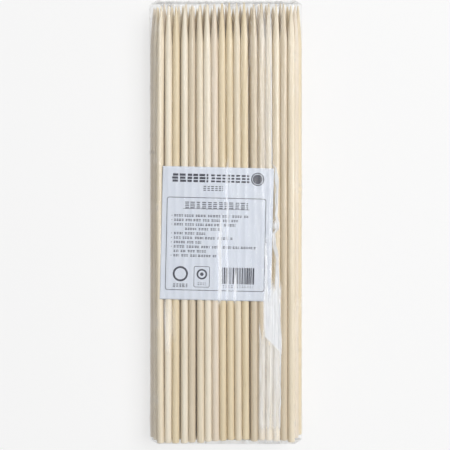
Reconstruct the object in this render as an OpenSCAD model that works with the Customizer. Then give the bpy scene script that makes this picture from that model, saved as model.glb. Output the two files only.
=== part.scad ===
// A clear film bag of pointed bamboo skewers with a paper label inside.
// The pack lies on its back: X runs across it, the points look along +Y,
// the label faces +Z, and the origin is under the middle of the bag.

/* [Skewers] */
// Length of one skewer
skewer_len = 300; // [200:5:400]
// Diameter of one skewer
skewer_d = 5; // [3:0.1:7]
// Length of the sharpened end
point_len = 27; // [10:1:45]
// Fullness of the sharpened end, where 1 is a plain cone
point_fullness = 0.55; // [0.45:0.05:1]
// Chamfer around the sawn end
butt_chamfer = 0.2; // [0.05:0.05:0.5]

/* [Bundle] */
// Skewers across the widest layer
across = 21; // [19:1:25]
// Free gap between neighbours in one layer
side_gap = 0.03; // [0.02:0.01:0.2]
// Free gap between one layer and the next
layer_gap = 0.03; // [0.02:0.01:0.2]
// Free gap under the front layer, whose skewers lie a little aslant
front_gap = 0.1; // [0.08:0.01:0.3]
// Free gap between neighbours in the front layer
front_side_gap = 0.1; // [0.08:0.01:0.12]
// How far a hidden skewer slides along the pack, either way
end_play = 1.2; // [0:0.1:2]
// How far a front skewer slides along the pack
front_play = 2; // [0:0.1:3]

/* [Label] */
// Width of the paper label
label_w = 76; // [40:1:84]
// Length of the paper label along the skewers
label_len = 91; // [40:1:150]
// Thickness of the paper
label_t = 0.15; // [0.08:0.01:0.4]
// How far the label's corner lies inside the left side of the front layer
label_margin = 2.1; // [1.6:0.1:8]
// Place of the label's middle along the pack
label_y = -8.7; // [-40:0.1:40]
// Clockwise turn of the label, seen from the front
label_turn = 1.3; // [0:0.1:3]
// Free gap under and over the paper
label_gap = 0.06; // [0.03:0.01:0.2]

/* [Film] */
// Thickness of the film wall
film_t = 0.15; // [0.1:0.01:0.3]
// Free gap between the film and the outermost skewers
film_gap = 0.12; // [0.05:0.01:0.5]
// Free gap between the film and the farthest skewer end
end_gap = 0.6; // [0.1:0.1:5]
// Width of the welded seam that stands off each end
seam_w = 1.2; // [0.5:0.1:6]
// Height of the welded seams above the surface
seam_z = 9; // [6:0.5:12]
// How far the welded seams stay short of the bag's sides
seam_inset = 1.5; // [0:0.1:10]
// How far the film's inner edge lies inside the right side of the front layer
lap_inset = 27.5; // [20:0.5:35]
// Greatest width of the lap
lap_w = 17.6; // [10:0.2:20]
// How far the lap stays short of each end of the bag
lap_end = 8; // [2:0.5:30]
// Free gap between the two layers of film in the lap
lap_gap = 0.06; // [0.03:0.01:0.3]

/* [Hidden] */
skewer_r = skewer_d / 2;
point_steps = 7;
circle_fn = 32;

// Layers from the back of the pack to the front
back_n = round(across);
second_n = back_n - 1;
middle_n = back_n;
fourth_n = back_n - 1;
front_n = back_n - 3;

pitch = skewer_d + side_gap;
lay_d = skewer_d + layer_gap;
rise = sqrt(lay_d * lay_d - pitch * pitch / 4);
film_r = skewer_r + film_gap + film_t;

back_z = film_r;
second_z = back_z + rise;
middle_z = second_z + rise;
fourth_z = middle_z + rise;

// Wider gaps of the front layer, as shares of a skewer's diameter:
// place counted from the left, extra at the points, extra at the butts
wide_gaps = [
    [1, 0.02, 0.02], [2, 0.14, 0.2], [4, 0, 0.2],
    [8, 0, 0.04], [9, 0, 0.02], [11, 0.32, 0.14]
];
// Where each front skewer lies along the pack, as shares of the front play, from the left
front_slides = [
    -1, -0.9, -1, -0.95, -0.7, -0.8, -0.4, -0.25, -0.1,
    0.15, 0, 0.25, -0.35, 0, -0.1, -0.3, -0.1, -0.7
];

// Free edge of the lap: share of its width, then place from the points (1) to the butts (-1)
lap_edge = [
    [0.62, 1], [0.65, 0.4], [0.66, 0.27], [0.81, 0.25], [0.9, 0.2], [0.9, 0.12], [0.87, 0.03],
    [0.93, -0.01], [0.91, -0.04], [0.77, -0.06], [0.81, -0.11], [0.91, -0.16], [0.92, -0.23],
    [0.97, -0.4], [1, -0.6], [0.99, -1]
];
lap_root_w = 2;
lap_slit = 0.1;

function sum_to(list, n) = n < 0 ? 0 : list[n] + sum_to(list, n - 1);
function extra(place, side) =
    let (hits = [for (g = wide_gaps) if (g[0] == place) g[side]]) len(hits) ? hits[0] : 0;
function front_steps(side) =
    [for (i = [0:front_n - 2]) skewer_d * (1 + extra(i, side)) + front_side_gap];
function front_x(i, side) =
    let (steps = front_steps(side)) sum_to(steps, i - 1) - sum_to(steps, front_n - 2) / 2;
function front_slide(i) = front_play * front_slides[i % len(front_slides)];
function hidden_slide(layer, i) = end_play * sin(137 * i + 71 * layer);

// Height at which a front skewer comes to rest on the layer under it
function drop(reach, off) = abs(off) < reach ? sqrt(reach * reach - off * off) : 0;
function rest_z(x) =
    let (reach = skewer_d + front_gap, first = -(fourth_n - 1) / 2 * pitch)
    fourth_z + max([for (k = [0:fourth_n - 1]) drop(reach, x - first - k * pitch)]);

front_top = fourth_z + skewer_d + front_gap + skewer_r;
label_z = front_top + label_gap;
film_top = label_z + label_t + label_gap + film_t;

// Corner centres of the bundle's section, right half, from the back to the front
wide_x = (back_n - 1) / 2 * pitch;
front_end_x = max(front_x(front_n - 1, 1), front_x(front_n - 1, 2));
back_corner = [wide_x, back_z];
side_corner = [wide_x, middle_z];
fourth_corner = [(fourth_n - 1) / 2 * pitch, fourth_z];
front_corner = [front_end_x, film_top - film_r];
// The taut film touches the fourth layer's end only where that stands out
fourth_stands_out = turn_of(side_corner, fourth_corner) < turn_of(fourth_corner, front_corner);
section_centres = [
    back_corner,
    side_corner,
    if (fourth_stands_out) fourth_corner,
    front_corner
];
corner_steps = 4;

function turn_of(a, b) = atan2(b[1] - a[1], b[0] - a[0]) - 90;
function corner_turns() = [
    -90,
    for (i = [0:len(section_centres) - 2]) turn_of(section_centres[i], section_centres[i + 1]),
    90
];
// Half of the film's section: arcs around the corner centres, pulled in by inset
function half_section(inset) =
    let (turns = corner_turns())
    [
        for (i = [0:len(section_centres) - 1])
            for (k = [0:corner_steps])
                let (a = turns[i] + (turns[i + 1] - turns[i]) * k / corner_steps)
                section_centres[i] + (film_r - inset) * [cos(a), sin(a)]
    ];
function flipped(points) =
    [for (i = [len(points) - 1:-1:0]) [-points[i][0], points[i][1]]];
function whole_section(inset) =
    let (half = half_section(inset)) concat(half, flipped(half));

slide_room = max(end_play, front_play);
bag_half = skewer_len / 2 + slide_room + end_gap + film_t;
lap_half = bag_half - lap_end;
front_side = front_end_x + skewer_r;
lap_x = front_side - lap_inset;
label_reach = (label_w * cos(label_turn) + label_len * sin(label_turn)) / 2;
label_x = label_margin + label_reach - front_side;

// The film's section drawn out along the pack
module skin(inset) {
    rotate([90, 0, 0])
        linear_extrude(2 * (bag_half - inset), center = true)
            polygon(whole_section(inset));
}

// The weld of both walls across each end
module end_seam(side) {
    seam_len = 2 * (wide_x + film_r - seam_inset);
    translate([-seam_len / 2, side > 0 ? bag_half - film_t / 2 : -bag_half - seam_w, seam_z - film_t])
        cube([seam_len, seam_w + film_t / 2, 2 * film_t]);
}

// The sheet's outer edge, lapped over its inner edge on the front
module lap() {
    root_x = lap_x - lap_slit;
    translate([root_x - lap_root_w, -lap_half, film_top - film_t / 2])
        cube([lap_root_w, 2 * lap_half, 1.5 * film_t + lap_gap]);
    translate([0, 0, film_top + lap_gap])
        linear_extrude(film_t)
            polygon(concat(
                [for (p = lap_edge) [lap_x + p[0] * lap_w, p[1] * lap_half]],
                [[root_x - lap_root_w / 2, -lap_half], [root_x - lap_root_w / 2, lap_half]]
            ));
}

// The way in between the two layers of the lap
module lap_opening() {
    translate([lap_x, -lap_half, film_top - 2 * film_t])
        cube([lap_slit, 2 * lap_half, 2 * film_t + lap_gap / 2]);
}

module film_bag() {
    color("aliceblue", 0.3)
        difference() {
            union() {
                skin(0);
                lap();
                end_seam(1);
                end_seam(-1);
            }
            skin(film_t);
            lap_opening();
        }
}

module label() {
    color("whitesmoke")
        translate([label_x, label_y, label_z])
            rotate([0, 0, -label_turn])
                translate([-label_w / 2, -label_len / 2, 0])
                    cube([label_w, label_len, label_t]);
}

// One skewer along +Z: a rod with a full, rounded taper to its point
module skewer_form() {
    rotate_extrude($fn = circle_fn)
        polygon(concat(
            [[0, 0], [skewer_r - butt_chamfer, 0], [skewer_r, butt_chamfer]],
            [
                for (k = [0:point_steps])
                    let (s = pow(1 - k / point_steps, 2))
                    [skewer_r * pow(s, point_fullness), skewer_len - point_len * s]
            ]
        ));
}

// A skewer from its butt to its point, slid along the pack
module laid_skewer(butt, point, slide) {
    way = point - butt;
    color("burlywood")
        translate(butt + [0, slide, 0])
            rotate([atan2(way[2], way[1]) - 90, 0, atan2(-way[0], way[1])])
                skewer_form();
}

module straight_skewer(layer, count, i, z) {
    x = (i - (count - 1) / 2) * pitch;
    laid_skewer([x, -skewer_len / 2, z], [x, skewer_len / 2, z], hidden_slide(layer, i));
}

module hidden_layer(layer, count, z) {
    for (i = [0:count - 1]) straight_skewer(layer, count, i, z);
}

module front_skewer(i) {
    butt_x = front_x(i, 2);
    point_x = front_x(i, 1);
    laid_skewer(
        [butt_x, -skewer_len / 2, rest_z(butt_x)],
        [point_x, skewer_len / 2, rest_z(point_x)],
        front_slide(i)
    );
}

function two_digits(i) = i < 9 ? str("0", i + 1) : str(i + 1);
function front_name(i) = str("front_skewer_", two_digits(i));
function back_name(i) = str("back_skewer_", two_digits(i));

film_bag();
label();
hidden_layer(2, second_n, second_z);  // second_layer
hidden_layer(3, middle_n, middle_z);  // middle_layer
hidden_layer(4, fourth_n, fourth_z);  // fourth_layer
for (i = [0:front_n - 1])
    front_skewer(i);
for (i = [0:back_n - 1])
    straight_skewer(1, back_n, i, back_z);
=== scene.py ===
import math

import bpy
import numpy as np
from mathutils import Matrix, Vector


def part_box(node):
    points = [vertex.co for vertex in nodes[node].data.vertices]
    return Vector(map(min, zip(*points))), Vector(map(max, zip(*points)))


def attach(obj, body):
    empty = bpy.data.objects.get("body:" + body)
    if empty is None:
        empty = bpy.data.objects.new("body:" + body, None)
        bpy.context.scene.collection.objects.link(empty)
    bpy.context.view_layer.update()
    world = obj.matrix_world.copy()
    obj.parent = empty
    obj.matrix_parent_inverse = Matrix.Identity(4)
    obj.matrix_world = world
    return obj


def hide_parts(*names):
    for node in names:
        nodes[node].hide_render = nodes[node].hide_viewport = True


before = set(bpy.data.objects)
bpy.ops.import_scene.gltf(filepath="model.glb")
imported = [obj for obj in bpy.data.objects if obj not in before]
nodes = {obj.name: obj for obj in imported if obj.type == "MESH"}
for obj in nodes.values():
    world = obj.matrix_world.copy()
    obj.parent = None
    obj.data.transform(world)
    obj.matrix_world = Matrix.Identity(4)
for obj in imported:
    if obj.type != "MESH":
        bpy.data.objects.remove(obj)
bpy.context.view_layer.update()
print("frame: the packed model is loaded")

mm = 0.001


# numbers that everything shares, read from the frame
def nodeMiddle(name):
    low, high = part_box(name)
    return [(low[i] + high[i]) / 2 for i in range(3)]


bagLow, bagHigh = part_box("film_bag")
backLow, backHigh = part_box("back_skewer_01")
stickRadius = (backHigh.x - backLow.x) / 2
frontNames = sorted(name for name in nodes if name.startswith("front_skewer_"))
backNames = sorted(name for name in nodes if name.startswith("back_skewer_"))
layerNames = ["second_layer", "middle_layer", "fourth_layer"]


# small tools
latticeSize = 256


def softNoise(x, y, cellX, cellY, seed):
    # value noise from -1 to 1: random numbers on a lattice, blended by a smooth step in both directions
    rng = np.random.default_rng(seed)
    table = rng.uniform(-1, 1, (latticeSize, latticeSize))
    gx, gy = x / cellX, y / cellY
    ix, iy = np.floor(gx).astype(int), np.floor(gy).astype(int)
    fx, fy = gx - ix, gy - iy
    fx, fy = fx * fx * (3 - 2 * fx), fy * fy * (3 - 2 * fy)
    ax, bx = ix % latticeSize, (ix + 1) % latticeSize
    ay, by = iy % latticeSize, (iy + 1) % latticeSize
    low = table[ax, ay] * (1 - fx) + table[bx, ay] * fx
    high = table[ax, by] * (1 - fx) + table[bx, by] * fx
    return low * (1 - fy) + high * fy


def softStep(low, high, value):
    # 0 below low, 1 above high, and a smooth cubic between
    t = np.clip((value - low) / (high - low), 0, 1)
    return t * t * (3 - 2 * t)


def gridQuads(rows, cols, closedCols=False, start=0):
    # quads of a rows by cols grid, numbered row by row, wrapped round in columns when closed
    j = np.arange(rows - 1)[:, None]
    i = np.arange(cols if closedCols else cols - 1)[None, :]
    k = (i + 1) % cols
    a, b = j * cols + i, j * cols + k
    return np.stack([a, b, b + cols, a + cols], -1).reshape(-1, 4) + start


def meshPiece(name, points, faces, material, smooth=True, attributes=None):
    mesh = bpy.data.meshes.new(name)
    mesh.from_pydata(np.asarray(points, float).reshape(-1, 3).tolist(), [], faces)
    mesh.polygons.foreach_set("use_smooth", [smooth] * len(mesh.polygons))
    for label, (kind, field, values) in (attributes or {}).items():
        layer = mesh.attributes.new(label, kind, "POINT")
        layer.data.foreach_set(field, np.asarray(values, np.float32).ravel())
    mesh.materials.append(material)
    mesh.update()
    piece = bpy.data.objects.new(name, mesh)
    bpy.context.scene.collection.objects.link(piece)
    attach(piece, "root")
    return piece


def thicken(piece, thickness, offset=0.0):
    wall = piece.modifiers.new("wall", "SOLIDIFY")
    wall.thickness = thickness
    wall.offset = offset


def sRgb(red, green, blue):
    # a display colour from 0 to 255 as the linear colour that a shader takes
    values = []
    for part in (red, green, blue):
        share = part / 255
        values.append(share / 12.92 if share <= 0.04045 else ((share + 0.055) / 1.055) ** 2.4)
    return (*values, 1.0)


class Shade:
    # a short way to build a node tree: add a node, set its sockets, link it
    def __init__(self, name):
        self.material = bpy.data.materials.new(name)
        self.material.use_nodes = True
        self.tree = self.material.node_tree
        self.tree.nodes.clear()
        self.output = self.add("ShaderNodeOutputMaterial")

    def add(self, kind, props=None, **sockets):
        node = self.tree.nodes.new(kind)
        for key, value in (props or {}).items():
            setattr(node, key, value)
        for key, value in sockets.items():
            self.put(node, key.replace("_", " "), value)
        return node

    def put(self, node, socket, value):
        target = node.inputs[int(socket)] if socket.isdigit() else node.inputs[socket]
        if isinstance(value, bpy.types.NodeSocket):
            self.tree.links.new(value, target)
        else:
            target.default_value = value

    def math(self, operation, a, b=0.0, clamp=False):
        node = self.add("ShaderNodeMath", {"operation": operation, "use_clamp": clamp})
        self.put(node, "0", a)
        self.put(node, "1", b)
        return node.outputs[0]

    def ramp(self, value, *stops):
        node = self.add("ShaderNodeValToRGB")
        self.put(node, "Fac", value)
        band = node.color_ramp.elements
        for place, _ in stops[2:]:
            band.new(place)
        for element, (place, shade) in zip(band, sorted(stops)):
            element.position = place
            element.color = shade if isinstance(shade, tuple) else (shade, shade, shade, 1)
        return node.outputs["Color"]

    def mix(self, blend, factor, a, b):
        node = self.add("ShaderNodeMix", {"data_type": "RGBA", "blend_type": blend})
        self.put(node, "0", factor)
        self.put(node, "6", a)
        self.put(node, "7", b)
        return node.outputs[2]

    def noise(self, vector, scale, detail=2.0, rough=0.5):
        node = self.add("ShaderNodeTexNoise")
        self.put(node, "Vector", vector)
        for key, value in (("Scale", scale), ("Detail", detail), ("Roughness", rough)):
            self.put(node, key, value)
        return node.outputs["Fac"]

    def stretched(self, vector, x, y, z):
        node = self.add("ShaderNodeMapping")
        self.put(node, "Vector", vector)
        node.inputs["Scale"].default_value = (x, y, z)
        return node.outputs[0]

    def finish(self, surface):
        self.tree.links.new(surface, self.output.inputs["Surface"])
        return self.material


# bamboo: fine lengthwise fibres, long soft bands of shade and short dark pores
bambooLook = {
    "fibreScale": 3.2,       # fibres across, per mm
    "fibreLength": 0.035,    # fibres along, per mm
    "bandScale": 0.35,
    "bandLength": 0.012,
    "poreScale": 2.4,
    "poreLength": 0.09,
    "poreShare": 0.8,        # how far the pores darken the rod
    "fibreTint": ((0.25, (0.86, 0.84, 0.79, 1)), (0.72, (1.06, 1.06, 1.07, 1))),
    "bandTint": ((0.25, (0.93, 0.90, 0.86, 1)), (0.75, (1.04, 1.04, 1.05, 1))),
    "poreTint": ((0.70, (1, 1, 1, 1)), (0.82, (0.78, 0.70, 0.58, 1))),
    "roughness": 0.52,
    "bump": 0.25,
    "bumpHeight": 0.2 * mm,
}


def bambooMaterial():
    look = bambooLook
    shade = Shade("bamboo")
    grain = shade.add("ShaderNodeAttribute", {"attribute_name": "grain"}).outputs["Vector"]
    tone = shade.add("ShaderNodeAttribute", {"attribute_name": "tone"}).outputs["Color"]
    fibres = shade.noise(
        shade.stretched(grain, look["fibreScale"], look["fibreLength"], look["fibreScale"]), 1.0, 4.0, 0.6)
    bands = shade.noise(
        shade.stretched(grain, look["bandScale"], look["bandLength"], look["bandScale"]), 1.0, 2.0)
    pores = shade.noise(
        shade.stretched(grain, look["poreScale"], look["poreLength"], look["poreScale"]), 1.0, 1.0)
    fibreTint = shade.ramp(fibres, *look["fibreTint"])
    bandTint = shade.ramp(bands, *look["bandTint"])
    poreTint = shade.ramp(pores, *look["poreTint"])
    colour = shade.mix("MULTIPLY", 1.0, tone, fibreTint)
    colour = shade.mix("MULTIPLY", 1.0, colour, bandTint)
    colour = shade.mix("MULTIPLY", look["poreShare"], colour, poreTint)
    bump = shade.add("ShaderNodeBump", Strength=look["bump"], Distance=look["bumpHeight"], Height=fibres)
    surface = shade.add("ShaderNodeBsdfPrincipled", Base_Color=colour, Roughness=look["roughness"])
    shade.put(surface, "Normal", bump.outputs[0])
    return shade.finish(surface.outputs[0])


# skewers
stick = {
    "around": 28,            # faces round a front skewer
    "backAround": 20,
    "hiddenAround": 16,
    "along": 46,
    "hiddenAlong": 18,
    "pointLength": 27 * mm,
    "pointFullness": 0.55,   # 1 is a plain cone
    "buttChamfer": 0.2 * mm,
    "endDepth": 0.02 * mm,   # how deep the sawn end is looked for
    "pitchShare": 1.006,     # pitch of a hidden layer, as a share of the diameter
    "tipRings": 14,
    "rodStart": 0.6 * mm,    # first ring after the chamfer
    "rodEnd": 1.05,          # last ring of the rod, as a share of the point's length
    "unevenness": 0.010,     # share of the radius
    "toneRange": (0.97, 1.02),
    "hiddenDraws": 90,       # tones drawn for the hidden skewers
    "perLayer": 21,          # tones set aside for a hidden layer
    "backSeed": 100,
    "layerSeed": 200,
    "layerSeedStep": 40,
    "grainStep": 37.0,       # mm between the grain of one skewer and the next
}
tones = {
    "pale": sRgb(249, 241, 223),
    "cream": sRgb(242, 231, 208),
    "straw": sRgb(238, 223, 190),
    "pink": sRgb(241, 229, 211),
    "tan": sRgb(226, 213, 189),
}
# tone of each front skewer, from the left
frontTones = [
    "cream", "pale", "straw", "pale", "tan", "cream", "pale", "pink", "straw",
    "straw", "cream", "straw", "tan", "tan", "cream", "cream", "tan", "cream",
]
# sideways bow at mid-length, in mm, of the front skewers that are bent
frontBows = {0: -0.9, 1: 0.15, 6: 0.1, 15: 0.15}


def nodePoints(name):
    mesh = nodes[name].data
    flat = np.zeros(len(mesh.vertices) * 3)
    mesh.vertices.foreach_get("co", flat)
    return flat.reshape(-1, 3)


def skewerEnds(points):
    # butt centre: middle of the lowest-Y vertices; point: the vertex farthest along Y
    butt = points[points[:, 1] < points[:, 1].min() + stick["endDepth"]]
    return (butt.min(0) + butt.max(0)) / 2, points[points[:, 1].argmax()]


def layerEnds(name):
    # one pair of ends for each skewer of a layer node, told apart by their even pitch across the pack
    points = nodePoints(name)
    low, high = points[:, 0].min() + stickRadius, points[:, 0].max() - stickRadius
    count = round((high - low) / (2 * stickRadius * stick["pitchShare"])) + 1
    middles = np.linspace(low, high, count)
    owner = np.abs(points[:, :1] - middles[None, :]).argmin(1)
    return [skewerEnds(points[owner == k]) for k in range(count)]


def pointProfile(fromPoint):
    # radius at a distance from the point: full on the rod, a power curve on the sharpened end
    share = np.clip(fromPoint / stick["pointLength"], 0, 1)
    return stickRadius * share ** stick["pointFullness"]


def skewerSurface(butt, point, around, along, bow, seed):
    # rings round a straight line from butt to point; the radius follows the point profile with a
    # little unevenness, and the line bows sideways as half a sine wave
    rng = np.random.default_rng(seed)
    length = np.linalg.norm(point - butt)
    tipSteps = (np.linspace(1, 0, stick["tipRings"]) ** 2) * stick["pointLength"]
    rod = np.linspace(stick["rodStart"], length - stick["pointLength"] * stick["rodEnd"], along)
    places = np.concatenate([[0, stick["buttChamfer"]], rod, length - tipSteps[:-1]])
    fromPoint = length - places
    radius = pointProfile(fromPoint)
    radius[0] -= stick["buttChamfer"]
    turn = np.linspace(0, 2 * np.pi, around, endpoint=False) + rng.uniform(0, 1)
    wave = rng.uniform(0, 2 * np.pi, 4)
    lumps = (np.sin(2 * turn[None, :] + wave[0] + 9 * places[:, None])
             + 0.6 * np.sin(3 * turn[None, :] + wave[1] + 31 * places[:, None])
             + 0.8 * np.sin(47 * places[:, None] + wave[2]))
    ringRadius = radius[:, None] * (1 - stick["unevenness"] * (0.6 + 0.4 * lumps))
    axis = (point - butt) / length
    side = np.cross(axis, [0, 0, 1])
    side /= np.linalg.norm(side)
    up = np.cross(side, axis)
    share = places / length
    middle = butt + places[:, None] * axis + (bow * mm * np.sin(np.pi * share))[:, None] * side
    rings = (middle[:, None, :] + ringRadius[..., None]
             * (np.cos(turn)[None, :, None] * side + np.sin(turn)[None, :, None] * up))
    return rings, middle[0], middle[-1] + axis * tipSteps[-2] * 0.2, turn, places, ringRadius


def skewerMesh(ends, around, along, bows, toneNames, firstSeed):
    # several skewers as one list of points and faces, with the ends closed by fans
    allPoints, allFaces, allTones, allGrain, start = [], [], [], [], 0
    for k, (butt, point) in enumerate(ends):
        seed = firstSeed + k
        rings, buttMiddle, tip, turn, places, ringRadius = skewerSurface(
            butt, point, around, along, bows.get(k, 0.0), seed)
        rows = len(rings)
        block = np.concatenate([rings.reshape(-1, 3), [buttMiddle, tip]])
        faces = gridQuads(rows, around, True, start)[:, ::-1].tolist()
        i = np.arange(around)
        j = (i + 1) % around
        buttFan = np.stack([np.full(around, rows * around), i, j], -1) + start
        last = (rows - 1) * around
        tipFan = np.stack([np.full(around, rows * around + 1), last + j, last + i], -1) + start
        faces += buttFan.tolist() + tipFan.tolist()
        grain = np.stack([
            ringRadius * np.cos(turn)[None, :] / mm,
            np.repeat(places[:, None], around, 1) / mm,
            ringRadius * np.sin(turn)[None, :] / mm], -1).reshape(-1, 3)
        grain = np.concatenate([grain, [[0, 0, 0], [0, places[-1] / mm, 0]]])
        grain += np.array([1.0, 3.0, 1.7]) * stick["grainStep"] * (seed % 97)
        rng = np.random.default_rng(1000 + seed)
        tone = np.array(tones[toneNames[k]]) * rng.uniform(*stick["toneRange"])
        allPoints.append(block)
        allFaces += faces
        allGrain.append(grain)
        allTones.append(np.repeat(tone[None, :], len(block), 0))
        start += len(block)
    return np.concatenate(allPoints), allFaces, np.concatenate(allTones), np.concatenate(allGrain)


def skewerPiece(name, ends, around, along, bows, toneNames, seed, material, replaced):
    points, faces, toneValues, grain = skewerMesh(ends, around, along, bows, toneNames, seed)
    piece = meshPiece(name, points, faces, material, True, {
        "tone": ("FLOAT_COLOR", "color", toneValues),
        "grain": ("FLOAT_VECTOR", "vector", grain)})
    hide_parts(replaced)


bamboo = bambooMaterial()
frontEnds = [skewerEnds(nodePoints(name)) for name in frontNames]
toneRng = np.random.default_rng(7)
hiddenNames = ["cream", "straw", "tan", "pink"]
hiddenTones = [hiddenNames[k] for k in toneRng.integers(0, len(hiddenNames), stick["hiddenDraws"])]
for k, name in enumerate(frontNames):
    skewerPiece(name.replace("front_skewer", "frontStick"), [frontEnds[k]], stick["around"],
                stick["along"], {0: frontBows.get(k, 0.0)}, [frontTones[k % len(frontTones)]],
                k, bamboo, name)
for k, name in enumerate(backNames):
    skewerPiece(name.replace("back_skewer", "backStick"), [skewerEnds(nodePoints(name))],
                stick["backAround"], stick["hiddenAlong"], {}, [hiddenTones[k]],
                stick["backSeed"] + k, bamboo, name)
for n, name in enumerate(layerNames):
    around = stick["around"] if name == "fourth_layer" else stick["hiddenAround"]
    first = stick["perLayer"] * (n + 1)
    skewerPiece(name.replace("_layer", "Layer"), layerEnds(name), around,
                stick["hiddenAlong"], {}, hiddenTones[first:first + stick["perLayer"]],
                stick["layerSeed"] + stick["layerSeedStep"] * n, bamboo, name)
print("skewers: front, back and hidden layers are made")


# the front of the bundle as a height field, which the label and the film lie on
field = {
    "stepX": 0.4 * mm,
    "stepY": 1.6 * mm,
    "relaxSteps": 260,
    "lift": 0.05 * mm,       # air between the skewers and what lies on them
    "paperSag": 0.004 * mm,  # how strongly the paper sinks between two skewers, at each step
    "filmSag": 0.0008 * mm,
    "tipDrop": 2.0 * mm,     # how far the film sinks at the points
    "buttDrop": 0.25 * mm,
    "edgeDrop": 0.9 * mm,    # how far the sheet's sides lie under the highest skewer
    "acrossPull": 0.42,      # shares of the neighbours across and along the skewers
    "alongPull": 0.08,
    "endRoom": 1.75 * mm,    # between the field's ends and the bag's
    "empty": -1.0,           # height where no skewer lies
}
frontHalf = max(abs(end[0]) for pair in frontEnds for end in pair)
fieldX = np.linspace(-frontHalf, frontHalf, round(2 * frontHalf / field["stepX"]) + 1)
fieldY = np.linspace(bagLow.y + field["endRoom"], bagHigh.y - field["endRoom"],
                     round((bagHigh.y - bagLow.y) / field["stepY"]) + 1)


def crestHeight(ends, bows):
    # top of the highest skewer at each place: middle height plus the circle's height there
    height = np.full((len(fieldY), len(fieldX)), field["empty"])
    for k, (butt, point) in enumerate(ends):
        share = (fieldY - butt[1]) / (point[1] - butt[1])
        inside = (share >= 0) & (share <= 1)
        axisX = butt[0] + share * (point[0] - butt[0]) + bows.get(k, 0) * mm * np.sin(np.pi * share)
        axisZ = butt[2] + share * (point[2] - butt[2])
        radius = np.where(inside, pointProfile(point[1] - fieldY), 0)
        off = fieldX[None, :] - axisX[:, None]
        under = radius[:, None] ** 2 - off ** 2
        top = np.where(under > 0, axisZ[:, None] + np.sqrt(np.maximum(under, 0)), field["empty"])
        height = np.maximum(height, top)
    return height


def taut(obstacle, edge, sag):
    # a sheet pulled tight over an obstacle: again and again each place takes the mean of its
    # neighbours less a small sag, but never less than the obstacle, and both ends stay pulled down;
    # across the skewers it pulls harder than along them
    sheet = np.full_like(obstacle, edge)
    for _ in range(field["relaxSteps"]):
        wide = np.pad(sheet, 1, mode="edge")
        mean = (field["acrossPull"] * (wide[1:-1, :-2] + wide[1:-1, 2:])
                + field["alongPull"] * (wide[:-2, 1:-1] + wide[2:, 1:-1]))
        mean[0] = edge + field["edgeDrop"] - field["buttDrop"]
        mean[-1] = edge + field["edgeDrop"] - field["tipDrop"]
        sheet = np.maximum(obstacle, mean - sag)
    return sheet


def sample(height, x, y):
    # the height field at any place, blended between its four nearest numbers
    gx = np.clip((x - fieldX[0]) / (fieldX[1] - fieldX[0]), 0, len(fieldX) - 1.001)
    gy = np.clip((y - fieldY[0]) / (fieldY[1] - fieldY[0]), 0, len(fieldY) - 1.001)
    ix, iy = gx.astype(int), gy.astype(int)
    fx, fy = gx - ix, gy - iy
    low = height[iy, ix] * (1 - fx) + height[iy, ix + 1] * fx
    high = height[iy + 1, ix] * (1 - fx) + height[iy + 1, ix + 1] * fx
    return low * (1 - fy) + high * fy


crests = crestHeight(frontEnds, frontBows)
crestTop = crests.max()
crestEdge = crestTop - field["edgeDrop"]
overSkewers = taut(crests + field["lift"], crestEdge, field["paperSag"])

# label
sheetLabel = {
    "width": 76 * mm,
    "length": 91 * mm,
    "turn": math.radians(-1.3),
    "thickness": 0.1 * mm,
    "columns": 110,
    "rows": 90,
    "wave": 0.12 * mm,       # height of the paper's long soft waves
    "waveCell": (5.5 * mm, 70 * mm),
    "filmMargin": 0.3 * mm,  # how far round the label the film is lifted by it
}
labelX, labelY = nodeMiddle("label")[:2]


def labelPlace(u, v):
    # a place on the label, in metres from its middle, turned and moved into the pack's frame
    turn = sheetLabel["turn"]
    return (labelX + u * math.cos(turn) - v * math.sin(turn),
            labelY + u * math.sin(turn) + v * math.cos(turn))


def labelInside(x, y, margin):
    # true on the label and for a margin round it
    turn = sheetLabel["turn"]
    dx, dy = x - labelX, y - labelY
    u, v = dx * math.cos(turn) + dy * math.sin(turn), -dx * math.sin(turn) + dy * math.cos(turn)
    return ((np.abs(u) < sheetLabel["width"] / 2 + margin)
            & (np.abs(v) < sheetLabel["length"] / 2 + margin))


def labelHeight(x, y):
    # the paper's underside: the taut sheet over the skewers, lifted in long waves along them
    wave = sheetLabel["wave"] * (0.5 + 0.5 * softNoise(x + 1, y + 1, *sheetLabel["waveCell"], 31))
    return sample(overSkewers, x, y) + wave


paperLook = {
    "colour": sRgb(225, 231, 242),
    "roughness": 0.55,
    "mottle": (260, 90, 260),
    "tint": ((0.3, (0.955, 0.96, 0.97, 1)), (0.7, (1.02, 1.015, 1.0, 1))),
    "tooth": 5200.0,         # fineness of the paper's surface
    "bump": 0.12,
    "bumpHeight": 0.1 * mm,
}
inkLook = {
    "patchScale": 900.0,
    "tint": ((0.3, sRgb(26, 30, 46)), (0.75, sRgb(56, 61, 78))),
    "roughness": 0.5,
}


def paperMaterial():
    look = paperLook
    shade = Shade("labelPaper")
    place = shade.add("ShaderNodeTexCoord").outputs["Object"]
    mottle = shade.noise(shade.stretched(place, *look["mottle"]), 1.0, 3.0)
    tooth = shade.noise(place, look["tooth"], 2.0)
    tint = shade.ramp(mottle, *look["tint"])
    colour = shade.mix("MULTIPLY", 1.0, look["colour"], tint)
    bump = shade.add("ShaderNodeBump", Strength=look["bump"], Distance=look["bumpHeight"], Height=tooth)
    surface = shade.add("ShaderNodeBsdfPrincipled", Base_Color=colour, Roughness=look["roughness"])
    shade.put(surface, "Normal", bump.outputs[0])
    return shade.finish(surface.outputs[0])


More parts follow.
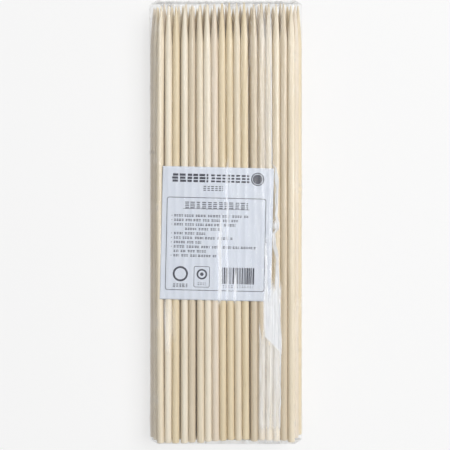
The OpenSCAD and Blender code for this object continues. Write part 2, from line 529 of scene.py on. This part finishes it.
def inkMaterial():
    shade = Shade("labelInk")
    place = shade.add("ShaderNodeTexCoord").outputs["Object"]
    patches = shade.noise(place, inkLook["patchScale"], 3.0)
    colour = shade.ramp(patches, *inkLook["tint"])
    surface = shade.add("ShaderNodeBsdfPrincipled", Base_Color=colour, Roughness=inkLook["roughness"])
    return shade.finish(surface.outputs[0])


def makeLabel():
    # a rectangle of paper laid on the skewers, cut by two even grids of places
    u = np.linspace(-0.5, 0.5, sheetLabel["columns"])[None, :] * sheetLabel["width"]
    v = np.linspace(-0.5, 0.5, sheetLabel["rows"])[:, None] * sheetLabel["length"]
    u, v = np.broadcast_arrays(u, v)
    x, y = labelPlace(u, v)
    points = np.stack([x, y, labelHeight(x, y)], -1)
    faces = gridQuads(sheetLabel["rows"], sheetLabel["columns"]).tolist()
    piece = meshPiece("labelSheet", points, faces, paperMaterial())
    thicken(piece, sheetLabel["thickness"], 1.0)
    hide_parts("label")


makeLabel()

# print on the label: plain strokes, rings and stripes, in mm from the label's middle
printing = {
    "lift": 0.02 * mm,       # above the paper
    "thickness": 0.015 * mm,
    "step": 1.0,             # mm between points along a stroke
    "lineTop": 12.0,
    "linePitch": 3.03,
    "lineEnds": [21.5, 15.5, 12.8, 3.5, -7.2, 10.8, -10.5, 26.9, -7.2, 0.1],
    "dotless": (3, 8),       # lines that carry on the one above and have no dot
    "indented": 3,
    "dot": (-31.2, -30.6, 0.2),  # left, right and half the height
    "ringPoints": 40,
    "ringStep": 0.5,
    # rows of blocks: start, end, middle, height, weight of a bar, block, space, bars in a block
    "headings": [
        (-31.4, -6.5, 37.8, 5.7, 1.55, 4.2, 0.6, 3),
        (-4.8, 21.4, 37.8, 5.3, 1.2, 3.0, 0.6, 3),
        (-9.9, 3.5, 30.9, 3.2, 0.6, 2.0, 0.6, 3),
        (-22.1, 21.0, 19.3, 4.4, 0.6, 3.2, 0.8, 4),
    ],
    "ringRow": (-29.4, -19.2, -35.7, 2.3, 0.5, 1.7, 0.5, 3),
    "frameRow": (-12.4, -6.8, -34.4, 1.6, 0.4, 1.2, 0.4, 2),
    "stripeRow": (3.1, 25.6, -35.8, 1.5, 0.4, 0.9, 0.9, 2),
    "rule": (-23.4, 16.6, 22.0, 16.9),
    # left, right, top, bottom, corner radius and line
    "frame": (-34.6, 33.2, 24.6, -39.0, 1.7, 0.42),
    "smallFrame": (-15.1, -4.2, -22.4, -36.8, 1.2, 0.36),
    # discs and rings: middle across, middle along, inner and outer radius
    "headingRings": [(27.1, 37.8, 0.0, 3.3), (27.1, 37.8, 3.8, 4.5)],
    "plainRing": (-24.3, -27.8, 3.9, 5.2),
    "frameRings": [(-9.6, -27.8, 2.5, 3.6), (-9.6, -27.8, 0.0, 1.2)],
    "stripes": (3.1, 25.4, -34.1, -22.9),  # left, right, bottom and top
    "stripesCoarseFrom": 11,
}


def strokeGrid(u0, v0, u1, v1):
    # a level stroke as a strip of squares, so that it can follow the paper
    count = max(2, int(abs(u1 - u0) / printing["step"]) + 2)
    rows = max(2, int(abs(v1 - v0) / printing["step"]) + 2)
    u, v = np.meshgrid(np.linspace(u0, u1, count), np.linspace(v0, v1, rows))
    return u, v, rows, count


def ringGrid(u, v, inner, outer, first=0.0, last=360.0):
    # a ring or an arc, from an inner to an outer radius
    count = printing["ringPoints"]
    rows = int((outer - inner) / printing["ringStep"]) + 2
    turn = np.radians(np.linspace(first, last, count))
    radius = np.linspace(inner, outer, rows)[:, None]
    return u + radius * np.cos(turn)[None, :], v + radius * np.sin(turn)[None, :], rows, count


def printedShapes():
    rng = np.random.default_rng(21)
    shapes = []

    def stroke(u0, v0, u1, v1):
        shapes.append(strokeGrid(u0, v0, u1, v1))

    def dashes(start, end, middle, height, weight, block, space, levels):
        # a row of blocks, each a stack of level bars of one weight, cut off unevenly
        u = start
        while u < end:
            wide = min(block * rng.uniform(0.75, 1.15), end - u)
            for level in np.linspace(-0.5, 0.5, levels) if levels > 1 else [0.0]:
                trim = rng.uniform(0, 0.25, 2) * wide * 0.5
                place = middle + level * (height - weight)
                stroke(u + trim[0], place - weight / 2, u + wide - trim[1], place + weight / 2)
            u += wide + space * rng.uniform(0.8, 1.3)

    # the heading, the line under it and the second heading with its rule
    for heading in printing["headings"]:
        dashes(*heading)
    stroke(*printing["rule"])
    dotLeft, dotRight, dotHalf = printing["dot"]
    for k, end in enumerate(printing["lineEnds"]):
        level = printing["lineTop"] - k * printing["linePitch"]
        if k not in printing["dotless"]:
            stroke(dotLeft, level - dotHalf, dotRight, level + dotHalf)
        u = -21.8 if k == printing["indented"] else -29.4
        while u < end - 1:
            word = min(rng.uniform(3.5, 9.0), end - u)
            dashes(u, u + word, level, 1.45, 0.55, 1.5, 0.3, 2)
            u += word + rng.uniform(0.9, 1.6)
    # the frame with round corners
    roundedFrame(shapes, *printing["frame"])
    # a disc in a ring, a plain ring, a dot and ring in a small frame, and uneven stripes
    shapes += [ringGrid(*ring) for ring in printing["headingRings"] + [printing["plainRing"]]]
    dashes(*printing["ringRow"])
    roundedFrame(shapes, *printing["smallFrame"])
    shapes += [ringGrid(*ring) for ring in printing["frameRings"]]
    dashes(*printing["frameRow"])
    u, stripesEnd, low, high = printing["stripes"]
    coarseFrom = printing["stripesCoarseFrom"]
    while u < stripesEnd:
        wide = rng.choice([0.3, 0.3, 0.45, 0.6, 0.9] if u < coarseFrom else [0.45, 0.6, 0.9, 1.1])
        stroke(u, low, u + wide, high)
        u += wide + rng.choice([0.35, 0.45, 0.6, 0.9] if u < coarseFrom else [0.3, 0.35, 0.6])
    dashes(*printing["stripeRow"])
    return shapes


def roundedFrame(shapes, left, right, top, bottom, radius, line):
    # four level or upright strokes, joined by quarter rings
    shapes.append(strokeGrid(left + radius, top - line, right - radius, top))
    shapes.append(strokeGrid(left + radius, bottom, right - radius, bottom + line))
    shapes.append(strokeGrid(left, bottom + radius, left + line, top - radius))
    shapes.append(strokeGrid(right - line, bottom + radius, right, top - radius))
    for u, v, first in ((right - radius, top - radius, 0), (left + radius, top - radius, 90),
                        (left + radius, bottom + radius, 180), (right - radius, bottom + radius, 270)):
        shapes.append(ringGrid(u, v, radius - line, radius, first, first + 90))


def makePrint():
    points, faces, start = [], [], 0
    for u, v, rows, count in printedShapes():
        x, y = labelPlace(u * mm, v * mm)
        z = labelHeight(x, y) + sheetLabel["thickness"] + printing["lift"]
        points.append(np.stack([x, y, z], -1).reshape(-1, 3))
        faces += gridQuads(rows, count, False, start).tolist()
        start += rows * count
    piece = meshPiece("labelPrint", np.concatenate(points), faces, inkMaterial())
    thicken(piece, printing["thickness"], 0.0)


makePrint()
print("label: paper and plain print are made")

# film
film = {
    "thickness": 0.05 * mm,
    "clearance": 0.06 * mm,
    "columns": 196,          # places across the front
    "sideColumns": 12,
    "backColumns": 22,
    "rows": 128,
    "buttRoom": 1.75 * mm,   # between the full section and the outer edge of the weld
    "pointRoom": 3.1 * mm,
    "weldWidth": 1.2 * mm,
    "weldHeight": 9 * mm,
    "buttSway": 0.15 * mm,   # how far the weld's edge wanders inwards
    "pointSway": 0.5 * mm,
    "crease": 0.14 * mm,     # height of the fine lengthwise creases
    "sideCrinkle": 0.35 * mm,
    "sideReach": 0.2 * mm,   # from the outermost skewers to the film
    # noise cells, first across and then along
    "fineCell": (1.3 * mm, 26 * mm),
    "crossCell": (6 * mm, 5 * mm),
    "crinkleCell": (4 * mm, 11 * mm),
    "smallCell": (1.5 * mm, 4 * mm),
    "pleatCell": (1.7 * mm, 9 * mm),
    "gatherCell": 3.1 * mm,
    "swayCell": 11 * mm,
    "crossShare": 0.5,       # cross creases and small crinkles, as shares of the main ones
    "smallShare": 0.4,
    "tipGrowth": 1.6,        # how much higher the creases grow over the points
    "tipZone": (125 * mm, 147 * mm),
    "endGrowth": 0.8,        # and the crinkles towards both ends
    "endZone": (115 * mm, 150 * mm),
    "crinkleSlant": 0.6,
    "gather": 0.3 * mm,
    "weldHalf": 0.06 * mm,   # half the height of the closed weld
    "weldTaper": 0.02,       # share by which the bag narrows at the weld
    "frontFrom": 18 * mm,    # height above which the film is on the front
    "sideMilk": 0.2,
    "closedMilk": 0.10,
    "pleatMilk": 0.55,
    "endMilk": 0.12,
}
lapShape = {
    "inset": 27.5 * mm,      # the root, inside the right side of the front layer
    "width": 17.6 * mm,
    "edge": [                # share of the width, then place from the butts (-1) to the points (1)
        (0.99, -1), (1, -0.6), (0.97, -0.4), (0.92, -0.23), (0.91, -0.16), (0.81, -0.11),
        (0.77, -0.06), (0.91, -0.04), (0.93, -0.01), (0.87, 0.03), (0.90, 0.12), (0.90, 0.2),
        (0.81, 0.25), (0.66, 0.27), (0.65, 0.4), (0.62, 1),
    ],
    "columns": 64,
    "rows": 420,
    "endRoom": 9.2 * mm,
    "gap": 0.1 * mm,
    "crumple": 0.34 * mm,
    "crumpleCell": (2.2 * mm, 7 * mm),
    "ridgeCell": (0.9 * mm, 13 * mm),
    "ridgeShare": 0.6,
    "edgeSway": 0.22 * mm,   # small waves of the free edge
    "edgeCell": 4 * mm,
    "tuck": 1 * mm,          # how far the lap starts inside its root
    "curl": 0.5 * mm,
    "curlFrom": 0.88,        # share of the width from which it curls up
    "rimFrom": 0.93,         # and from which it is white
    "rimBroader": 0.08,
    "rimFade": 0.03,
    "rimMilk": 0.86,
    "broadZone": (-85 * mm, -60 * mm, 30 * mm, 40 * mm),
    "knot": (35.2, -3.0, 2.7, 0.55),  # a crumpled spot on the edge: place, radius and height in mm
}
# white patches on the film, in mm: left, right, lower end, upper end, slant of the lower end, strength;
# they are painted glare, glints and highlight streaks, and on the lap partly the real milk of the doubled
# film
milkAndGlarePatches = {
    "upperGlare": (23.6, 31.6, 34, 147, 0, 0.17),
    "brightLap": (26.0, 37.4, -79, -42, -1.0, 0.95),
    "lowerLap": (22.4, 36.8, -158, -70, 0, 0.46),
    "streakOne": (-5.2, -3.2, -53, 4, 0, 0.95),
    "streakTwo": (0.1, 1.3, -53, 44, 0, 0.6),
    "streakThree": (5.3, 6.9, -53, -32, 0, 0.9),
    "streakFour": (26.4, 27.9, -53, -16, 0, 0.95),
    "glintOne": (-42.0, -39.2, -88, -52, 0, 0.26),
    "glintTwo": (-38.6, -34.2, -80, -50, 0, 0.14),
    "paleRun": (-18.0, -10.5, 36, 122, 0, 0.05),
    "faintRun": (5.0, 9.5, -48, 36, 0, 0.05),
}
# settings for the film's milk and its painted glare
milkAndGlare = {
    "base": 0.008,
    "softAcross": 0.8,       # mm over which a patch fades, across and along the pack
    "softAlong": 11.0,
    "slantEdge": 1.5,        # mm over which a slanted end fades
    "sway": 0.45,            # mm by which the sides of the patches wander
    "patchy": 0.4,           # how far the streaks of noise thin a weak patch
    "underLap": 0.2,         # share of the milk on the film under the lap
    "pastLap": 0.5,          # and where the lap has ended
    "ragged": 9.0,           # mm by which the upper ends of the patches come and go
}
lapX = frontHalf + stickRadius - lapShape["inset"]
lapHalf = bagHigh.y - lapShape["endRoom"]


def lapReach(y):
    # how far the lap's free edge stands past its root, from the given list
    share, place = np.array(lapShape["edge"]).T
    return np.interp(y / lapHalf, place, share) * lapShape["width"]


def lapEnds(y):
    # 1 along the lap, fading to 0 over the last millimetres at both of its ends
    return softStep(0, 6 * mm, lapHalf - np.abs(y))


def milkAndGlareField(x, y):
    # how milky the film is, with painted glare and glints: soft-edged patches, thinned by long streaks of
    # noise where they are weak
    v = y / mm
    u = x / mm + milkAndGlare["sway"] * softNoise(x * 0 + 1, v + 200, 1.0, 13, 44)
    total = np.full(np.shape(u + v), milkAndGlare["base"])
    across, along = milkAndGlare["softAcross"], milkAndGlare["softAlong"]
    upper = v + milkAndGlare["ragged"] * softNoise(u + 200, v + 200, 1.0, 60, 43)
    for left, right, low, high, slant, strength in milkAndGlarePatches.values():
        start = low + slant * (u - left)
        edge = milkAndGlare["slantEdge"] if slant else along
        inside = (softStep(left - across, left + across, u)
                  * (1 - softStep(right - across, right + across, u))
                  * softStep(start - edge / 2, start + edge / 2, v)
                  * (1 - softStep(high - along, high, upper)))
        total = np.maximum(total, strength * inside)
    streaks = (0.6 * softNoise(u + 200, v + 200, 0.9, 34, 41)
               + 0.4 * softNoise(u + 200, v + 200, 2.4, 12, 42))
    ridges = softStep(-0.5, 0.5, streaks)
    weak = 1 - softStep(0.7, 0.95, total)
    return np.clip(total * (1 + milkAndGlare["patchy"] * weak * (1.6 * ridges - 1)), 0, 0.97)


onLabel = labelInside(fieldX[None, :], fieldY[:, None], sheetLabel["filmMargin"])
paperTop = labelHeight(fieldX[None, :], fieldY[:, None]) + sheetLabel["thickness"]
filmObstacle = np.where(onLabel, paperTop + 2 * printing["lift"], crests) + film["clearance"]
overAll = taut(filmObstacle, crestEdge, field["filmSag"])


def filmTop(x, y):
    # the film's front: taut over skewers and label, with fine creases that only ever lift it
    nearTips = 1 + film["tipGrowth"] * softStep(*film["tipZone"], y)
    fine = np.abs(softNoise(x + 1, y + 1, *film["fineCell"], 51)) * film["crease"] * nearTips
    cross = np.abs(softNoise(x + 1, y + 1, *film["crossCell"], 52)) * film["crease"] * film["crossShare"]
    return sample(overAll, x, y) + fine + cross


filmLook = {
    "roughness": 0.11,
    "bump": 0.55,
    "bumpHeight": 0.2 * mm,
    "streaks": (900, 26, 900),
    "faceOn": 0.016,         # share of light that the film throws back when seen face on
    "grazing": 0.6,          # and when seen edge on
    "milkAndGlareWhite": sRgb(249, 251, 254),
}


def filmMaterial():
    # clear film: the share of gloss grows with the fifth power of the slant, as on any clear plastic,
    # and the milky places show a thin white veil, which also serves as painted glare and glints
    look = filmLook
    shade = Shade("clearFilm")
    milkAndGlareShare = shade.add("ShaderNodeAttribute", {"attribute_name": "milkAndGlare"}).outputs["Fac"]
    place = shade.add("ShaderNodeTexCoord").outputs["Object"]
    streaks = shade.noise(shade.stretched(place, *look["streaks"]), 1.0, 4.0, 0.6)
    cloud = shade.ramp(streaks, (0.3, 0.85), (0.7, 1.15))
    veilShare = shade.math("MULTIPLY", milkAndGlareShare, cloud, True)
    # milky film scatters light onwards, and much of the white veil is painted glare, so it throws no
    # shadow on what lies under it
    lit = shade.math("SUBTRACT", 1.0, shade.add("ShaderNodeLightPath").outputs["Is Shadow Ray"])
    veilShare = shade.math("MULTIPLY", veilShare, lit)
    bump = shade.add("ShaderNodeBump", Strength=look["bump"], Distance=look["bumpHeight"], Height=streaks)
    slant = shade.add("ShaderNodeLayerWeight", Blend=0.5)
    shade.put(slant, "Normal", bump.outputs[0])
    power = shade.math("POWER", slant.outputs["Facing"], 5.0)
    share = shade.math("MULTIPLY", power, look["grazing"] - look["faceOn"])
    glossShare = shade.math("ADD", share, look["faceOn"], True)
    gloss = shade.add("ShaderNodeBsdfGlossy", Roughness=look["roughness"], Color=(1, 1, 1, 1))
    shade.put(gloss, "Normal", bump.outputs[0])
    clear = shade.add("ShaderNodeBsdfTransparent", Color=(1, 1, 1, 1))
    white = shade.add("ShaderNodeBsdfDiffuse", Color=look["milkAndGlareWhite"])
    veil = shade.add("ShaderNodeMixShader", Fac=veilShare)
    shade.put(veil, "1", clear.outputs[0])
    shade.put(veil, "2", white.outputs[0])
    surface = shade.add("ShaderNodeMixShader", Fac=glossShare)
    shade.put(surface, "1", veil.outputs[0])
    shade.put(surface, "2", gloss.outputs[0])
    return shade.finish(surface.outputs[0])


def filmSides():
    # half a section from the front's right end down and round to the middle of the back: arcs round
    # the outermost skewers, joined by straight pulls
    backMiddle = nodeMiddle(backNames[-1])
    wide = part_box("middle_layer")[1].x - stickRadius
    middleZ = nodeMiddle("middle_layer")[2]
    reach = stickRadius + film["sideReach"]
    slope = math.degrees(math.atan2(crestTop - stickRadius - middleZ, frontHalf - wide)) - 90
    corners = [(frontHalf, crestTop - stickRadius, 78, slope), (wide, middleZ, slope, 0),
               (wide, backMiddle[2], 0, -90)]
    xs, zs = [], []
    for x, z, first, last in corners:
        turn = np.radians(np.linspace(first, last, film["sideColumns"]))
        xs.append(x + reach * np.cos(turn))
        zs.append(z + reach * np.sin(turn))
    xs.append(np.linspace(wide, 0, film["backColumns"], endpoint=False)[1:])
    zs.append(np.full(film["backColumns"] - 1, backMiddle[2] - reach))
    return np.concatenate(xs), np.concatenate(zs)


def filmPlaces():
    # where the film's rings stand along the pack, and how far each is drawn shut, from 0 to 1
    butts = bagHigh.y - film["buttRoom"]
    tips = bagHigh.y - film["pointRoom"]
    weld = bagHigh.y - film["weldWidth"]
    body = np.linspace(-butts, tips, film["rows"])
    shares = np.array([0.05, 0.2, 0.4, 0.7, 1.0])
    behind = -butts - (weld - butts) * np.sqrt(shares)
    beyond = tips + (weld - tips) * shares ** 0.7
    rim = bagHigh.y - 0.1 * mm
    places = np.concatenate([[-rim], behind[::-1], body, beyond, [rim]])
    shut = np.concatenate([[1.0], shares[::-1], np.zeros(film["rows"]), shares, [1.0]])
    return places, shut


def makeFilm():
    # a closed section carried along the pack; past the skewers it is drawn flat onto the welds
    rightX, rightZ = filmSides()
    places, shut = filmPlaces()
    frontX = np.linspace(-frontHalf, frontHalf, film["columns"])
    gridX, gridY = np.meshgrid(frontX, np.clip(places, fieldY[0], fieldY[-1]))
    ringX = np.concatenate([frontX, rightX, [0.0], -rightX[::-1]])
    ringZ = np.concatenate([rightZ, [rightZ[-1]], rightZ[::-1]])
    count = len(ringX)
    x, y = np.meshgrid(ringX, places)
    z = np.concatenate([filmTop(gridX, gridY), np.tile(ringZ, (len(places), 1))], 1)
    # crinkles on the sides push outwards only, and fade out towards the front and the back
    sideness = softStep(2 * mm, 5 * mm, z) * softStep(frontHalf, frontHalf + 2 * mm, np.abs(x))
    along = np.where(x < 0, y + 1, y + 1.7) + film["crinkleSlant"] * z
    crinkle = np.abs(softNoise(z + 1, along, *film["crinkleCell"], 61)) * film["sideCrinkle"]
    small = np.abs(softNoise(z + 1, along, *film["smallCell"], 62))
    crinkle += small * film["sideCrinkle"] * film["smallShare"]
    creased = softStep(0.26 * mm, 0.5 * mm, crinkle)
    crinkle *= 1 + film["endGrowth"] * softStep(*film["endZone"], np.abs(y))
    x = x + np.sign(x) * crinkle * sideness
    # the weld lies level, and small gathers run into it
    close = shut[:, None]
    gather = np.abs(softNoise(x + 1, x * 0 + 1, film["gatherCell"], 1.0, 63))
    gather = gather * film["gather"] * np.sin(np.pi * close)
    above = np.where(z > film["weldHeight"], 1.0, -1.0)
    inLap = (x > lapX) & (x < lapX + lapReach(y))
    lapShare = milkAndGlare["pastLap"] - (milkAndGlare["pastLap"] - milkAndGlare["underLap"]) * lapEnds(y)
    # the film's milk, with the painted glare of the patches on the front
    milkAndGlareShare = np.where(z > film["frontFrom"], milkAndGlareField(x, y) * np.where(inLap, lapShare, 1), milkAndGlare["base"])
    milkAndGlareShare = milkAndGlareShare + film["sideMilk"] * sideness * creased
    pleats = np.abs(softNoise(x + 1, z + 1, *film["pleatCell"], 64))
    pleated = film["pleatMilk"] * pleats ** 2 * np.sqrt(close)
    milkAndGlareShare = np.maximum(milkAndGlareShare, film["closedMilk"] * close ** 3 + pleated)
    z = z * (1 - close) + (film["weldHeight"] + above * film["weldHalf"]) * close
    x = x * (1 - film["weldTaper"] * close)
    swayReach = np.where(y < 0, film["buttSway"], film["pointSway"])
    sway = swayReach * softNoise(x + 1, x * 0 + 1, film["swayCell"], 1.0, 65) * close
    y = y + (gather - np.abs(sway)) * np.sign(y)
    ends = [[0, y[0, 0], film["weldHeight"]], [0, y[-1, 0], film["weldHeight"]]]
    points = np.concatenate([np.stack([x, y, z], -1).reshape(-1, 3), ends])
    faces = gridQuads(len(places), count, True)[:, ::-1].tolist()
    i = np.arange(count)
    j = (i + 1) % count
    last = (len(places) - 1) * count
    faces += np.stack([np.full(count, x.size), i, j], -1).tolist()
    faces += np.stack([np.full(count, x.size + 1), last + j, last + i], -1).tolist()
    milkAndGlareShare = np.concatenate([milkAndGlareShare.ravel(), [film["endMilk"]] * 2])
    piece = meshPiece("filmWrap", points, faces, clearFilm, True,
                      {"milkAndGlare": ("FLOAT", "value", milkAndGlareShare)})
    thicken(piece, film["thickness"], 1.0)
    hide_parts("film_bag")


def makeLap():
    # the outer edge of the sheet, lying over the front: a strip from its root to its wavy free edge,
    # lifted by small crumples and curled up along the edge
    shape = lapShape
    share = (np.linspace(0, 1, shape["columns"]) ** 0.75)[None, :]
    y = np.linspace(-lapHalf, lapHalf, shape["rows"])[:, None]
    reach = lapReach(y) + shape["edgeSway"] * softNoise(y * 0 + 1, y + 1, 1.0, shape["edgeCell"], 71)
    x = lapX - shape["tuck"] + share * (reach + shape["tuck"])
    y = np.broadcast_to(y, x.shape)
    crumple = np.abs(softNoise(x + 1, y + 1, *shape["crumpleCell"], 72)) * shape["crumple"]
    ridges = np.abs(softNoise(x + 1, y + 1, *shape["ridgeCell"], 73))
    crumple += ridges * shape["crumple"] * shape["ridgeShare"]
    free = softStep(shape["curlFrom"], 1.0, share)
    curl = free * shape["curl"] * (0.35 + 0.65 * np.abs(softNoise(x * 0 + 1, y + 1, 1.0, 6 * mm, 74)))
    knotX, knotY, radius, height = shape["knot"]
    knot = np.exp(-(((x / mm - knotX) ** 2 + (y / mm - knotY) ** 2) / radius ** 2))
    z = (filmTop(x, y) + shape["gap"] + crumple * softStep(0.0, 0.15, share) + curl
         + knot * height * mm * (0.5 + 0.5 * softNoise(x + 1, y + 1, 0.8 * mm, 0.9 * mm, 75)))
    # the free edge is white: broad beside the label, narrow above and below it
    zone = shape["broadZone"]
    broad = softStep(*zone[:2], y) * (1 - softStep(*zone[2:], y))
    wander = 1 + 0.5 * softNoise(y * 0 + 1, y + 1, 1.0, 7 * mm, 77)
    start = shape["rimFrom"] - shape["rimBroader"] * broad * wander
    white = shape["rimMilk"] + 0.1 * softNoise(y * 0 + 1, y + 1, 1.0, 5 * mm, 76)
    rim = softStep(start, start + shape["rimFade"], share) * white
    # the painted glare of the patches, with the white rim and the crumpled knot
    milkAndGlareShare = np.maximum(milkAndGlareField(x, y), np.maximum(rim, np.minimum(1.5 * knot, 0.97))) * lapEnds(y)
    meshPiece("filmLap", np.stack([x, y, z], -1),
              gridQuads(shape["rows"], shape["columns"]).tolist(), clearFilm, True,
              {"milkAndGlare": ("FLOAT", "value", milkAndGlareShare)})


clearFilm = filmMaterial()
makeFilm()
makeLap()
print("film: wrap and lap are made")

# floor, light and camera
studio = {
    "floorSize": 40.0,
    "floorLevel": -0.0002,
    "floorColour": sRgb(250, 250, 250),
    "floorDark": sRgb(248, 248, 248),
    "nearWhite": 0.66,       # share of plain white that the camera sees in the floor beside the pack
    "whiteFrom": 0.45,       # metres from the pack over which that share grows to 1
    "whiteAt": 1.8,
    "worldStrength": 0.2,
    "cameraDistance": 0.500,
    "frameWidth": 0.3088,    # width of the picture at the front layer
    "lookX": -0.7 * mm,
    "lookY": -2.7 * mm,
    "sensor": 36.0,
    "clip": (0.01, 20),
}
# lamps that look at the pack: place, width and height in metres, and watts
lamps = {
    "windowLight": ((1.05, 0.5, 1.75), 1.4, 1.4, 34),
    "fillLight": ((-1.2, 0.2, 1.6), 1.4, 1.4, 3.5),
    "stripLight": ((0.16, 0.48, 2.1), 0.05, 0.5, 0.5),
}


def makeFloor():
    half = studio["floorSize"] / 2
    shade = Shade("floorPaper")
    place = shade.add("ShaderNodeTexCoord").outputs["Object"]
    mottle = shade.noise(place, 3.0, 2.0)
    colour = shade.ramp(mottle, (0.3, studio["floorDark"]), (0.7, studio["floorColour"]))
    surface = shade.add("ShaderNodeBsdfPrincipled", Base_Color=colour, Roughness=0.9)
    # the floor looks whiter to the camera and in reflections than its own colour, and keeps its
    # shadows; far from the pack it is as white as the world behind it
    path = shade.add("ShaderNodeLightPath")
    seen = shade.math("ADD", path.outputs["Is Camera Ray"], path.outputs["Is Glossy Ray"])
    seen = shade.math("ADD", seen, path.outputs["Is Transmission Ray"], True)
    bright = shade.add("ShaderNodeEmission", Color=(1, 1, 1, 1), Strength=1.0)
    away = shade.add("ShaderNodeVectorMath", {"operation": "LENGTH"})
    shade.put(away, "0", place)
    white = shade.add(
        "ShaderNodeMapRange", {"interpolation_type": "SMOOTHSTEP"}, Value=away.outputs["Value"],
        From_Min=studio["whiteFrom"], From_Max=studio["whiteAt"], To_Min=studio["nearWhite"])
    share = shade.math("MULTIPLY", seen, white.outputs["Result"])
    blend = shade.add("ShaderNodeMixShader", Fac=share)
    shade.put(blend, "1", surface.outputs[0])
    shade.put(blend, "2", bright.outputs[0])
    material = shade.finish(blend.outputs[0])
    mesh = bpy.data.meshes.new("floor")
    corners = [(-half, -half), (half, -half), (half, half), (-half, half)]
    mesh.from_pydata([(x, y, studio["floorLevel"]) for x, y in corners], [], [(0, 1, 2, 3)])
    mesh.materials.append(material)
    floor = bpy.data.objects.new("floor", mesh)
    bpy.context.scene.collection.objects.link(floor)


def makeWorld():
    # even light from all round, which the camera, gloss and clear film see as plain white
    world = bpy.data.worlds.new("studio")
    world.use_nodes = True
    tree = world.node_tree
    path = tree.nodes.new("ShaderNodeLightPath")
    total = path.outputs["Is Camera Ray"]
    for ray in ("Is Glossy Ray", "Is Transmission Ray"):
        add = tree.nodes.new("ShaderNodeMath")
        add.operation, add.use_clamp = "ADD", True
        tree.links.new(total, add.inputs[0])
        tree.links.new(path.outputs[ray], add.inputs[1])
        total = add.outputs[0]
    strength = tree.nodes.new("ShaderNodeMapRange")
    strength.inputs["To Min"].default_value = studio["worldStrength"]
    strength.inputs["To Max"].default_value = 1.0
    tree.links.new(total, strength.inputs["Value"])
    background = tree.nodes["Background"]
    background.inputs["Color"].default_value = (1, 1, 1, 1)
    tree.links.new(strength.outputs["Result"], background.inputs["Strength"])
    bpy.context.scene.world = world


def makeLamp(name, place, width, height, power):
    lamp = bpy.data.lights.new(name, "AREA")
    lamp.shape = "RECTANGLE"
    lamp.size, lamp.size_y, lamp.energy = width, height, power
    holder = bpy.data.objects.new(name, lamp)
    bpy.context.scene.collection.objects.link(holder)
    way = -np.array(place)
    holder.location = place
    holder.rotation_mode = "QUATERNION"
    holder.rotation_quaternion = Vector(way).to_track_quat("-Z", "Y")


def makeCamera():
    data = bpy.data.cameras.new("camera")
    data.sensor_width = studio["sensor"]
    data.lens = studio["sensor"] * studio["cameraDistance"] / studio["frameWidth"]
    data.clip_start, data.clip_end = studio["clip"]
    camera = bpy.data.objects.new("camera", data)
    bpy.context.scene.collection.objects.link(camera)
    camera.location = (studio["lookX"], studio["lookY"], crestTop - stickRadius + studio["cameraDistance"])
    bpy.context.scene.camera = camera


makeFloor()
for name, values in lamps.items():
    makeLamp(name, *values)
makeCamera()
makeWorld()
bpy.context.scene.view_settings.view_transform = "Standard"
print("stage: floor, lamps and camera are set")
